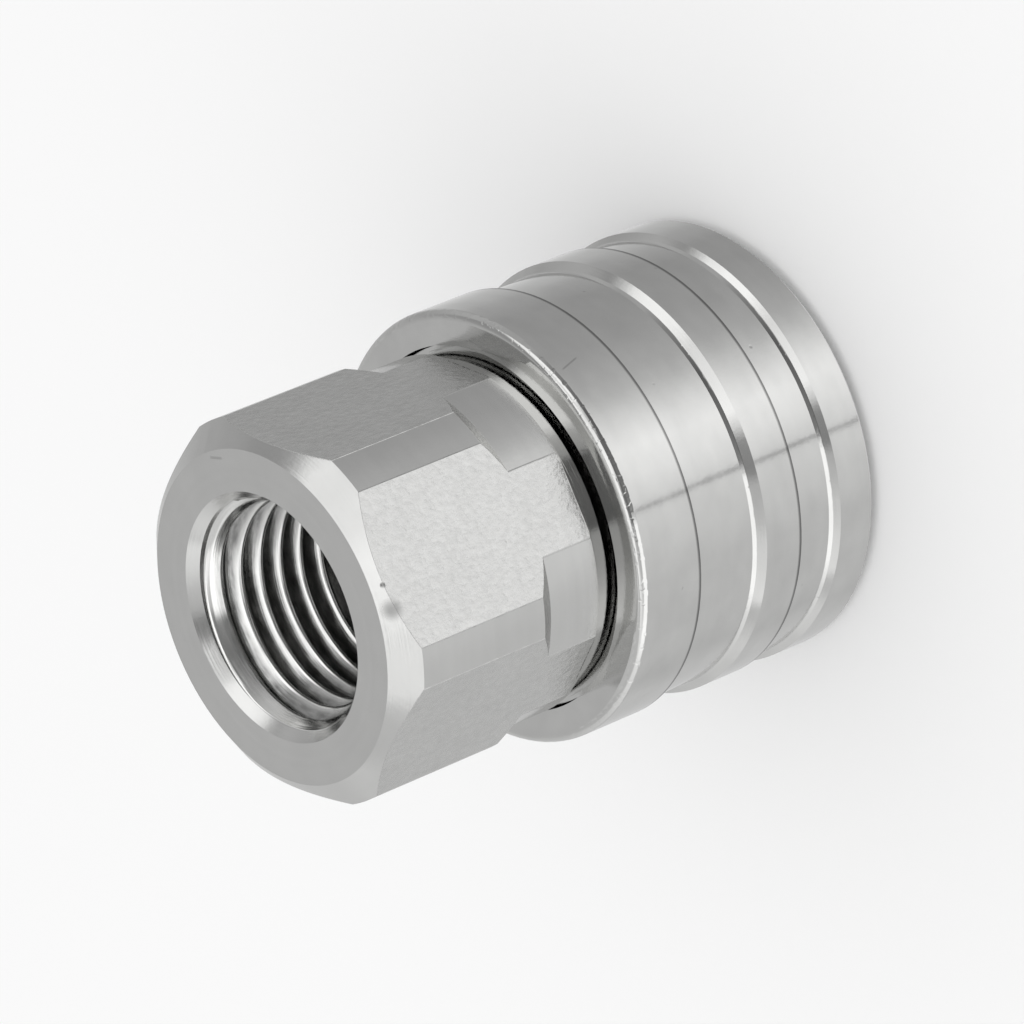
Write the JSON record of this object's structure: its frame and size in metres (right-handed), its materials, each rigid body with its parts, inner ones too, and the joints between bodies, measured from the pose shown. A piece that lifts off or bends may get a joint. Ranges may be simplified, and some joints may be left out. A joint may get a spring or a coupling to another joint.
{
  "type": "pressure washer hose coupler",
  "caption": "Quick coupler socket with a hexagonal female pipe thread end and a sprung sleeve that locks a hose plug with balls.",
  "frame": {"origin": "centre of the nose's bottom face, on the coupler's axis, where it stands", "axes": "+Z along the coupler's axis from the plug end up to the pipe end; +Y square to one pair of wrench flats"},
  "size_m": [0.0256, 0.0256, 0.034],
  "materials": {
    "coupler_body": "stainless bar, turned; rolled texture on the flats",
    "lock_sleeve": "stainless, fine turned and satin polished",
    "sleeve_spring": "drawn spring wire",
    "retaining_ring": "stamped spring steel",
    "plug_seal_ring": "moulded nitrile rubber",
    "backup_ring": "turned fluoropolymer",
    "locking_balls": "ground and polished steel balls"
  },
  "bodies": {
    "body": {"coupler_body": "coupler_body", "sleeve_spring": "sleeve_spring", "retaining_ring": "retaining_ring", "plug_seal_ring": "plug_seal_ring", "backup_ring": "backup_ring"},
    "sleeve": {"lock_sleeve": "lock_sleeve"},
    "ball_1": {"locking_ball_1": "locking_balls"},
    "ball_2": {"locking_ball_2": "locking_balls"},
    "ball_3": {"locking_ball_3": "locking_balls"},
    "ball_4": {"locking_ball_4": "locking_balls"},
    "ball_5": {"locking_ball_5": "locking_balls"},
    "ball_6": {"locking_ball_6": "locking_balls"},
    "ball_7": {"locking_ball_7": "locking_balls"},
    "ball_8": {"locking_ball_8": "locking_balls"}
  },
  "joints": [
    {"name": "sleeve_slide", "type": "slide", "parent": "body", "child": "sleeve", "axis": [0, 0, 1], "range_m": [0, 0.004], "stiffness_N_per_m": 500, "springref_m": -0.008, "deforming": ["sleeve_spring"]},
    {"name": "ball_1_slide", "type": "slide", "parent": "body", "child": "ball_1", "axis": [1, 0, 0], "range_m": [0, 0.00115]},
    {"name": "ball_2_slide", "type": "slide", "parent": "body", "child": "ball_2", "axis": [0.7071, 0.7071, 0], "range_m": [0, 0.00115]},
    {"name": "ball_3_slide", "type": "slide", "parent": "body", "child": "ball_3", "axis": [0, 1, 0], "range_m": [0, 0.00115]},
    {"name": "ball_4_slide", "type": "slide", "parent": "body", "child": "ball_4", "axis": [-0.7071, 0.7071, 0], "range_m": [0, 0.00115]},
    {"name": "ball_5_slide", "type": "slide", "parent": "body", "child": "ball_5", "axis": [-1, 0, 0], "range_m": [0, 0.00115]},
    {"name": "ball_6_slide", "type": "slide", "parent": "body", "child": "ball_6", "axis": [-0.7071, -0.7071, 0], "range_m": [0, 0.00115]},
    {"name": "ball_7_slide", "type": "slide", "parent": "body", "child": "ball_7", "axis": [0, -1, 0], "range_m": [0, 0.00115]},
    {"name": "ball_8_slide", "type": "slide", "parent": "body", "child": "ball_8", "axis": [0.7071, -0.7071, 0], "range_m": [0, 0.00115]}
  ],
  "couplings": [
    {"joint": "ball_1_slide", "follows": "sleeve_slide", "ratio": 0.2875},
    {"joint": "ball_2_slide", "follows": "sleeve_slide", "ratio": 0.2875},
    {"joint": "ball_3_slide", "follows": "sleeve_slide", "ratio": 0.2875},
    {"joint": "ball_4_slide", "follows": "sleeve_slide", "ratio": 0.2875},
    {"joint": "ball_5_slide", "follows": "sleeve_slide", "ratio": 0.2875},
    {"joint": "ball_6_slide", "follows": "sleeve_slide", "ratio": 0.2875},
    {"joint": "ball_7_slide", "follows": "sleeve_slide", "ratio": 0.2875},
    {"joint": "ball_8_slide", "follows": "sleeve_slide", "ratio": 0.2875}
  ]
}
